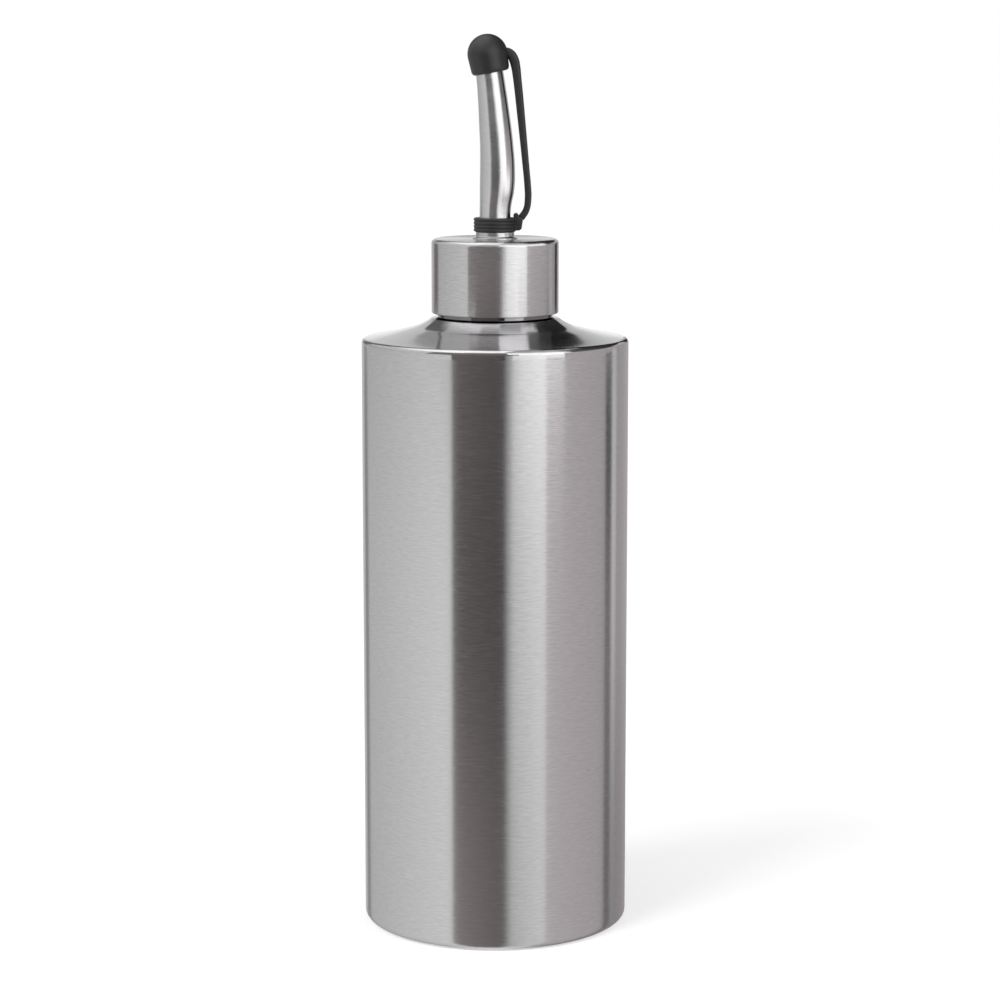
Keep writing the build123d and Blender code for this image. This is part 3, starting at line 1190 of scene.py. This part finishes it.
    def _lug(self) -> Piece:
        """The block on the ring's side that the strap leaves from."""
        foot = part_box("tether_ring")[0].z
        inner, outer = self.lug_inside, self.lug_outside
        bottom, top = foot + self.lug_bottom, foot + self.lug_top
        middle = (inner + outer) / 2
        Bench.clear()
        bpy.ops.mesh.primitive_cube_add(size=1, location=(middle, 0, (bottom + top) / 2))
        lug = Bench.take("lug", (outer - inner, self.lug_width, top - bottom))
        Bench.pick(lug, lambda place: place.x > outer - TOUCH and place.z < bottom + TOUCH)
        bpy.ops.mesh.select_mode(type="EDGE")
        bpy.ops.mesh.bevel(offset=self.lug_corner, segments=6, affect="EDGES")
        Bench.pick(lug, lambda place: place.z > top - TOUCH)
        bpy.ops.transform.translate(value=(self.lug_lean, 0, 0))
        Bench.pick(lug, lambda place: place.z > top - TOUCH and place.x > middle)
        bpy.ops.transform.translate(value=(0, 0, -self.lug_corner))
        return Bench.ease(lug, width=0.45 * MM, steps=4)

    def _roll(self) -> Piece:
        """The small roll on the ring's top edge, beside the strap's foot."""
        Bench.clear()
        bpy.ops.mesh.primitive_cylinder_add(
            vertices=32,
            radius=self.roll,
            depth=self.lug_width,
            location=(self.roll_place, 0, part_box("tether_ring")[0].z + self.roll_rise),
            rotation=(math.pi / 2, 0, 0),
        )
        return Bench.ease(Bench.take("roll"), width=0.25 * MM, steps=3)

    def strap(self) -> Piece:
        """The strap: out of the lug, up beside the spout and over into the tip cap's ear."""
        low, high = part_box("tether_strap")
        stations = [Station(x * MM, low.z + rise * MM, size) for x, rise, size in self.strap_rise]
        stations += [Station(x * MM, height * MM, size) for x, height, size in self.strap_bow]
        stations += [Station(x * MM, high.z - drop * MM, size) for x, drop, size in self.strap_end]
        return BentPiece.line("rubber_strap", stations, self._section())

    def _section(self) -> Piece:
        """The strap's rounded oblong section, as a closed curve."""
        Bench.clear()
        bpy.ops.curve.primitive_bezier_circle_add(radius=1)
        section = bpy.context.object
        bpy.ops.object.mode_set(mode="EDIT")
        bpy.ops.curve.select_all(action="SELECT")
        bpy.ops.curve.subdivide(number_cuts=1)
        bpy.ops.object.mode_set(mode="OBJECT")
        for point in section.data.splines[0].bezier_points:
            for axis, size in enumerate((self.strap_width, self.strap_thickness)):
                along = point.co[axis]
                squared = math.copysign(abs(along) ** self.strap_squareness, along)
                point.co[axis] = squared * size / 2
            BentPiece.smooth(point)
        section.data.resolution_u = 5
        return section

    def tip(self) -> Piece:
        """The ball on its short skirt, with the socket and the strap's ear."""
        low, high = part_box("tip_cap")
        centre = Vector((low.x + self.ball + self.ball_inset, 0, high.z - self.ball))
        Bench.clear()
        bpy.ops.mesh.primitive_uv_sphere_add(
            segments=96, ring_count=48, radius=self.ball, location=(0, 0, 0)
        )
        tip = Bench.take("rubber_tip")
        Bench.pick(tip, lambda place: place.z < -self.ball_cut)
        bpy.ops.mesh.delete(type="VERT")
        bpy.ops.mesh.select_mode(type="EDGE")
        bpy.ops.mesh.select_all(action="DESELECT")
        bpy.ops.mesh.select_non_manifold()
        tip.update_from_editmode()
        places = [vertex.co for vertex in tip.data.vertices]
        ring = min(place.z for place in places)
        radius = max(place.xy.length for place in places if place.z < ring + TOUCH)
        foot = -self.skirt_depth
        route = (
            Corner(radius, ring),
            Corner(self.skirt, foot + 0.9 * MM),
            Corner(self.skirt - 0.25 * MM, foot + 0.3 * MM),
            Corner(self.skirt - 0.8 * MM, foot),
            Corner(self.socket, foot),
            Corner(self.socket - self.socket_taper, self.socket_top),
        )
        Lathe.extend(route)
        bpy.ops.mesh.edge_face_add()
        bpy.ops.object.mode_set(mode="OBJECT")
        tip.rotation_euler = (0, -math.radians(self.lean), 0)
        tip.location = centre
        bpy.ops.object.transform_apply(location=True, rotation=True, scale=True)
        whole = Bench.join(Bench.tidy(tip), self._ear(centre))
        return Bench.mould(whole, voxel=0.12 * MM, passes=3)

    def _ear(self, centre: Vector) -> Piece:
        """The stub on the ball's side that the strap comes from."""
        inner = centre.x + self.ear_inside
        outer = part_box("tip_cap")[1].x + 0.1 * MM
        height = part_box("tether_strap")[1].z - self.ear_drop
        width, thickness = self.strap_width * self.ear_fit, self.strap_thickness * self.ear_fit
        Bench.clear()
        bpy.ops.mesh.primitive_cube_add(size=1, location=((inner + outer) / 2, 0, height))
        ear = Bench.take("ear", (outer - inner, width, thickness))
        return Bench.ease(ear, width=0.6 * MM, steps=5)


@dataclass(frozen=True)
class Card:
    """A curved card round the bottle that only reflections see.

    Attributes:
        name: The card's name.
        start: Azimuth of its first edge, in degrees from the camera's side towards +X.
        end: Azimuth of its last edge.
        start_level: Its lightness at the first edge.
        end_level: Its lightness at the last edge.
        low: What the lightness is multiplied by below the floor.
        high: The same from the upper end of the rise.
        rise: Heights between which the lightness turns to its upper value.
        bottom: Height of its lower edge.
        top: Height of its upper edge.
        reach: Distance from the bottle's axis.
        tint: Its colour, with the lightness apart.
    """

    name: str
    start: int
    end: int
    start_level: float
    end_level: float
    low: float = 1.0
    high: float = 1.0
    rise: tuple[float, float] = (0.06, 0.19)
    bottom: float = -1.0
    top: float = SEAM
    reach: float = 0.30
    tint: tuple[float, float, float] = (1.0, 1.0, 1.0)

    def glow(self) -> Material:
        """A glow that runs from the first level to the last, and changes with the height."""
        nodes = Nodes(bpy.data.materials.new(self.name))
        middle = math.radians((self.start + self.end) / 2)
        half = math.radians((self.end - self.start) / 2)
        turned = {"Vector": nodes.place(), "Angle": -middle}
        turn = nodes.add("ShaderNodeVectorRotate", turned, rotation_type="Z_AXIS").outputs[0]
        parts = nodes.add("ShaderNodeSeparateXYZ", {0: turn}).outputs
        azimuth = nodes.math("ARCTAN2", parts["X"], nodes.math("MULTIPLY", parts["Y"], -1.0))
        level = nodes.remap(azimuth, (-half, half), (self.start_level, self.end_level))
        foot = nodes.remap(parts["Z"], FLOOR_BLEND, (self.low, 1.0))
        head = nodes.remap(parts["Z"], self.rise, (1.0, self.high))
        level = nodes.math("MULTIPLY", nodes.math("MULTIPLY", level, foot), head)
        glow = nodes.add("ShaderNodeEmission", {"Color": (*self.tint, 1.0), "Strength": level})
        return nodes.finish(glow.outputs[0])


@dataclass(frozen=True)
class Panel:
    """A flat glowing panel above the bottle that only reflections see.

    Attributes:
        name: The panel's name.
        place: Its middle.
        width: Its size along X.
        depth: Its size along Y.
        level: Its lightness.
    """

    name: str
    place: tuple[float, float, float]
    width: float
    depth: float
    level: float


@dataclass(frozen=True)
class Lamp:
    """A soft square lamp aimed at the bottle's middle.

    Attributes:
        name: The lamp's name.
        place: Where it stands.
        size: Its side.
        power: Its power in watts.
    """

    name: str
    place: tuple[float, float, float]
    size: float
    power: float


@dataclass
class Studio:
    """The pale floor, the cards and panels, the lamps, the white world and the camera.

    Attributes:
        floor_radius: Radius of the floor.
        floor_drop: How far the floor lies below the standing ring.
        floor_fade: Distances from the bottle between which the floor's glow rises.
        floor_glow: How strong that glow is at the two distances.
        card_sides: Facets of a card's whole round.
        aim: What the lamps are aimed at.
        surround: Strength of the world as light, where 1 is the white that is seen.
        lens: The camera's lens in mm.
        camera_place: Where the camera stands.
        look_down: How far it looks down, in degrees.
        lamps: The lamps.
        panels: The panels overhead, the softbox on the left and the greyer ceiling on the right.
        cards: The cards round the bottle: low, behind, above, and the small ones close by.
    """

    floor_radius: float = 3.0
    floor_drop: float = 0.2 * MM
    floor_fade: tuple[float, float] = (0.05, 1.2)
    floor_glow: tuple[float, float] = (0.38, 0.68)
    card_sides: int = 360
    aim: tuple[float, float, float] = (0, 0, 0.12)
    surround: float = 0.45
    lens: float = 102.1
    camera_place: tuple[float, float, float] = (0.0013, -0.7413, 0.23007)
    look_down: float = 9.0
    lamps: tuple[Lamp, ...] = (
        Lamp("left_lamp", (-0.7, -0.6, 0.9), 0.7, 9.0),
        Lamp("right_lamp", (0.8, -0.5, 0.6), 0.5, 5.0),
    )
    panels: tuple[Panel, ...] = (
        Panel("overhead_softbox", (-0.22, 0.05, 0.70), 0.56, 0.6, 1.6),
        Panel("ceiling", (0.53, 0.05, 0.72), 0.94, 1.2, 0.5),
    )
    cards: tuple[Card, ...] = (
        Card("left_back_edge", -165, -149, 0.62, 0.62, top=BACK_SEAM),
        Card("left_back_wall", -149, -138, 0.26, 0.30, high=1.9, rise=(0.118, 0.14), top=BACK_SEAM),
        Card("left_softbox", -138, -35, 0.62, 0.95, low=0.97, high=0.82),
        Card("dark_gap", -35, 8, 0.13, 0.075, low=2.35, high=1.7, tint=WARM_DARK),
        Card("gap_edge", 8, 14, 0.25, 0.7),
        Card("right_softbox", 14, 42, 0.75, 1.0, low=0.88, high=1.7),
        Card("grey_wall", 42, 105, 0.62, 0.50, tint=WARM_GREY),
        Card(
            "thin_flag", 105, 115, 0.24, 0.24, 0.75, 0.10, (0.03, 0.105), top=0.125, tint=WARM_DARK
        ),
        Card("grey_wall_end", 105, 115, 0.50, 0.50, bottom=0.125, tint=WARM_GREY),
        Card("back_softbox", 115, 123, 0.78, 0.70, low=0.50, high=0.70, rise=(0.118, 0.14)),
        Card("right_back_wall", 123, 169, 0.42, 0.50, low=0.78, top=BACK_SEAM, tint=WARM_GREY),
        Card("back_sweep", 169, 195, 1.0, 1.0, high=0.72, rise=(0.17, 0.24), top=BACK_SEAM),
        Card("back_left", 180, 200, 0.73, 0.73, 1.0, 0.93, (0.21, 0.26), BACK_SEAM, LEFT_SEAM),
        Card("back_right", 160, 180, 0.73, 0.73, 1.0, 0.75, (0.21, 0.26), BACK_SEAM, RIGHT_SEAM),
        Card("back_wall_left", -160, -138, 0.50, 0.50, bottom=BACK_SEAM, top=LEFT_SEAM),
        Card("back_wall_right", 123, 160, 0.55, 0.55, bottom=BACK_SEAM, top=RIGHT_SEAM),
        Card("upper_back_left", 180, 195, 0.37, 0.37, bottom=LEFT_SEAM, top=CARD_TOP),
        Card(
            "upper_left_wall", -165, -138, 0.14, 0.17, 1.0, 4.5, (0.37, 0.52), LEFT_SEAM, CARD_TOP
        ),
        Card("upper_left", -138, -35, 0.72, 0.80, 1.0, 2.1, (0.38, 0.60), SEAM, CARD_TOP),
        Card("upper_gap", -35, 8, 0.60, 0.60, 1.0, 1.7, (0.45, 0.80), SEAM, CARD_TOP),
        Card("upper_softbox", 8, 68, 1.9, 1.45, 1.0, 0.5, (0.37, 0.46), SEAM, CARD_TOP),
        Card("upper_right", 68, 100, 0.13, 0.09, 1.0, 4.5, (0.42, 0.55), SEAM, CARD_TOP),
        Card("upper_right_wall", 100, 123, 0.08, 0.05, bottom=SEAM, top=CARD_TOP),
        Card("upper_right_end", 123, 169, 0.05, 0.02, bottom=RIGHT_SEAM, top=CARD_TOP),
        Card("upper_back_right", 169, 180, 0.015, 0.015, bottom=RIGHT_SEAM, top=CARD_TOP),
        Card("spout_gap", -44, 19, 0.07, 0.02, bottom=0.17, reach=NEAR),
        Card("cap_highlight", 41, 58, 1.35, 1.35, 1.0, 1.6, (0.165, 0.20), 0.13, reach=NEAR),
        Card("cap_gap", -43, 8, 0.26, 0.19, tint=WARM_DARK, **CAP_RING),
        Card("cap_flag_left", -128, -111, 0.20, 0.20, tint=WARM_DARK, **CAP_RING),
        Card("cap_flag_right", 123, 136, 0.03, 0.03, **CAP_RING),
        Card("spout_foot_light", 50, 86, 1.7, 1.4, bottom=0.184, top=0.1985, reach=0.036),
    )

    def build(self) -> None:
        """Set the stage, light it and place the camera."""
        self.floor()
        for card in self.cards:
            self.card(card)
        for panel in self.panels:
            self.panel(panel)
        self.world()
        for lamp in self.lamps:
            self.lamp(lamp)
        self.camera()

    def floor(self) -> None:
        """The pale floor, which keeps the object's shadow."""
        Bench.clear()
        bpy.ops.mesh.primitive_circle_add(
            vertices=128,
            radius=self.floor_radius,
            fill_type="NGON",
            location=(0, 0, -self.floor_drop),
        )
        floor = Bench.take("floor")
        floor.data.materials.append(self._pale())
        floor.visible_glossy = False

    def _pale(self) -> Material:
        """A pale matt face that shows white to the camera, and is clear from below."""
        nodes = Nodes(bpy.data.materials.new("pale_floor"))
        paths = nodes.add("ShaderNodeLightPath").outputs
        seen = nodes.math("MAXIMUM", paths["Is Camera Ray"], paths["Is Transmission Ray"])
        away = nodes.vector("LENGTH", nodes.place()).outputs["Value"]
        glow = nodes.math("MULTIPLY", seen, nodes.remap(away, self.floor_fade, self.floor_glow))
        inputs = {
            "Base Color": (0.8, 0.8, 0.8, 1.0),
            "Roughness": 0.9,
            "Specular IOR Level": 0.0,
            "Emission Color": WHITE,
            "Emission Strength": glow,
        }
        shader = nodes.add("ShaderNodeBsdfPrincipled", inputs).outputs[0]
        under = nodes.add("ShaderNodeNewGeometry").outputs["Backfacing"]
        clear = nodes.add("ShaderNodeBsdfTransparent").outputs[0]
        sides = nodes.add("ShaderNodeMixShader", {0: under, 1: shader, 2: clear})
        return nodes.finish(sides.outputs[0])

    def card(self, card: Card) -> None:
        """One curved card: a whole round, cut down to the card's own part."""
        edges = (Corner(card.reach, card.bottom), Corner(card.reach, card.top))
        piece = Lathe(self.card_sides).draw(card.name, edges)

        def outside(face: bpy.types.MeshPolygon) -> bool:
            """Whether a face of the round lies beyond the card's edges."""
            azimuth = math.degrees(math.atan2(face.center.x, -face.center.y))
            return (azimuth - card.start) % 360 > card.end - card.start

        Bench.cut_faces(piece, outside)
        piece.data.materials.append(card.glow())
        self._hide(piece)

    def panel(self, panel: Panel) -> None:
        """One flat panel."""
        Bench.clear()
        bpy.ops.mesh.primitive_plane_add(size=1, location=panel.place)
        piece = Bench.take(panel.name, (panel.width, panel.depth, 1))
        nodes = Nodes(bpy.data.materials.new(panel.name))
        glow = nodes.add("ShaderNodeEmission", {"Color": WHITE, "Strength": panel.level})
        piece.data.materials.append(nodes.finish(glow.outputs[0]))
        self._hide(piece)

    @staticmethod
    def _hide(piece: Piece) -> None:
        """Put a card or panel on the stage, for reflections alone."""
        piece.visible_camera = False
        piece.visible_diffuse = False
        piece.visible_shadow = False
        piece.visible_transmission = False
        piece.visible_volume_scatter = False

    def world(self) -> None:
        """A white surround for the camera and for reflections, and a soft grey one for light."""
        nodes = Nodes(bpy.data.worlds.new("studio"))
        paths = nodes.add("ShaderNodeLightPath").outputs
        seen = nodes.math("MAXIMUM", paths["Is Camera Ray"], paths["Is Glossy Ray"])
        seen = nodes.math("MAXIMUM", seen, paths["Is Transmission Ray"])
        level = nodes.remap(seen, (0.0, 1.0), (self.surround, 1.0))
        white = nodes.add("ShaderNodeBackground", {"Color": WHITE, "Strength": level})
        bpy.context.scene.world = nodes.finish(white.outputs[0])

    def lamp(self, lamp: Lamp) -> None:
        """One soft lamp."""
        light = bpy.data.lights.new(lamp.name, "AREA")
        light.size = lamp.size
        light.energy = lamp.power
        stand = bpy.data.objects.new(lamp.name, light)
        bpy.context.scene.collection.objects.link(stand)
        stand.location = lamp.place
        aim = Vector(self.aim) - Vector(lamp.place)
        stand.rotation_euler = aim.to_track_quat("-Z", "Y").to_euler()
        stand.visible_glossy = False

    def camera(self) -> None:
        """The camera at the photograph's place, with no shift."""
        data = bpy.data.cameras.new("camera")
        data.lens = self.lens
        data.sensor_width = 36.0
        data.clip_start = 0.01
        camera = bpy.data.objects.new("camera", data)
        bpy.context.scene.collection.objects.link(camera)
        camera.location = self.camera_place
        camera.rotation_euler = (math.radians(90.0 - self.look_down), 0, 0)
        bpy.context.scene.camera = camera


def main() -> None:
    """Build the bottle, the studio and the camera."""
    logging.basicConfig(level=logging.INFO, format="%(message)s")
    bpy.context.scene.view_settings.view_transform = "Standard"
    finishes = Finishes()
    lathe = Lathe()
    BottleBody().build(lathe, finishes)
    ScrewCap().build(lathe, finishes)
    PourSpout().build(finishes)
    RubberTether().build(lathe, finishes)
    Studio().build()
    Bench.clear()
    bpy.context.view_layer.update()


if __name__ == "__main__":
    main()
